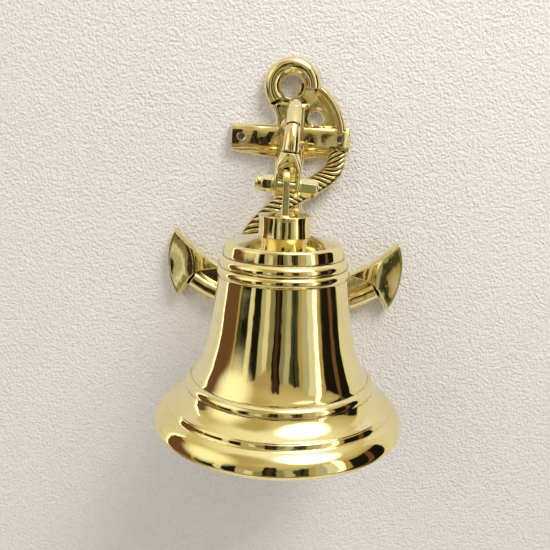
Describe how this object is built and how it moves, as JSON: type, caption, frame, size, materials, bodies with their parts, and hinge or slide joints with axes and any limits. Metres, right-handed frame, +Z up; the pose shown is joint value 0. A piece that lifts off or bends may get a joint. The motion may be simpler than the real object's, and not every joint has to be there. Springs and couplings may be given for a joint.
{
  "type": "ship bell",
  "caption": "Polished brass ship's bell with swinging clapper, hung from the forked end of a swan-neck arm on an anchor-shaped wall bracket with a cast rope.",
  "frame": {"origin": "midway between the two wall screws, on the wall face of the anchor", "axes": "+Z up, +Y into the wall, -Y out to the front of the bell, +X to the right seen from the front"},
  "size_m": [0.1677, 0.1632, 0.2379],
  "materials": {
    "bell_brass": "polished",
    "polished_brass": "polished",
    "cast_brass": "polished casting with tarnish in the recesses",
    "plain_brass": "turned"
  },
  "bodies": {
    "bracket": {"anchor": "cast_brass", "arm": "polished_brass", "arm_washer": "plain_brass", "arm_nut": "plain_brass", "pivot_bolt": "plain_brass", "pivot_nut": "plain_brass", "pivot_washers": "plain_brass"},
    "bell": {"bell": "bell_brass", "hanger": "polished_brass", "crown_washer": "plain_brass", "clapper_clevis": "plain_brass", "clapper_pin": "plain_brass"},
    "clapper": {"clapper_rod": "plain_brass", "clapper_ball": "polished_brass", "clapper_nut": "plain_brass"}
  },
  "joints": [
    {"name": "bell_swing", "type": "hinge", "parent": "bracket", "child": "bell", "pos_m": [-0.003, -0.088, -0.026], "axis": [0.9959, 0, -0.0906], "range_deg": [-75, 5]},
    {"name": "clapper_swing", "type": "hinge", "parent": "bell", "child": "clapper", "pos_m": [-0.003, -0.088, -0.079], "axis": [1, 0, 0], "range_deg": [-30, 30]}
  ]
}
